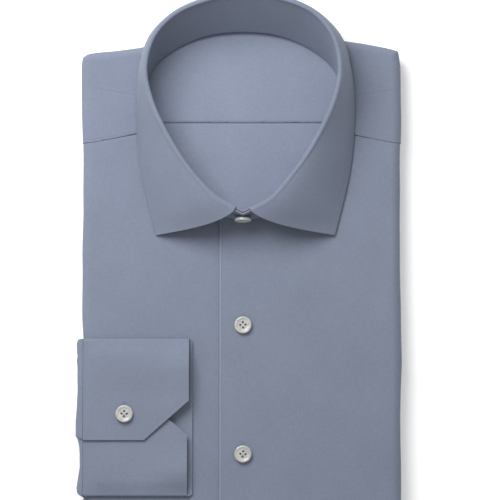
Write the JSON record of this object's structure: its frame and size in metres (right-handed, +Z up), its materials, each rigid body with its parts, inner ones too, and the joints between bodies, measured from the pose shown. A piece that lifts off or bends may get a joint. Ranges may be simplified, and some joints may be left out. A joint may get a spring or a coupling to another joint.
{
  "type": "long sleeve dress shirt, folded",
  "caption": "Long sleeve dress shirt folded face up, with a buttoned standing spread collar, a plain lapped front and one buttoned cuff laid on the front",
  "frame": {"origin": "centre of the shirt's outline, on the surface that it lies on", "axes": "+X is to the viewer's right, which is the wearer's left. +Y is towards the collar, along the front edge. +Z is up, out of the shirt's front."},
  "size_m": [0.2158, 0.419, 0.0567],
  "materials": {
    "shirt_cloth": "fine even plain weave, matte",
    "inside_cloth": "fine even plain weave, matte, inner side",
    "collar_cloth": "fine plain weave over a stiff interlining, matte",
    "button_shell": "pearly, polished"
  },
  "bodies": {
    "root": {"folded_layers": "shirt_cloth", "back_panel": "inside_cloth", "yoke": "shirt_cloth", "front_right": "shirt_cloth", "front_left": "shirt_cloth", "collar_band": "collar_cloth", "collar_leaf": "collar_cloth", "sleeve": "shirt_cloth", "cuff": "collar_cloth", "button_front_1": "button_shell", "button_front_2": "button_shell", "button_front_3": "button_shell", "button_cuff": "button_shell", "button_collar": "button_shell"}
  },
  "joints": []
}
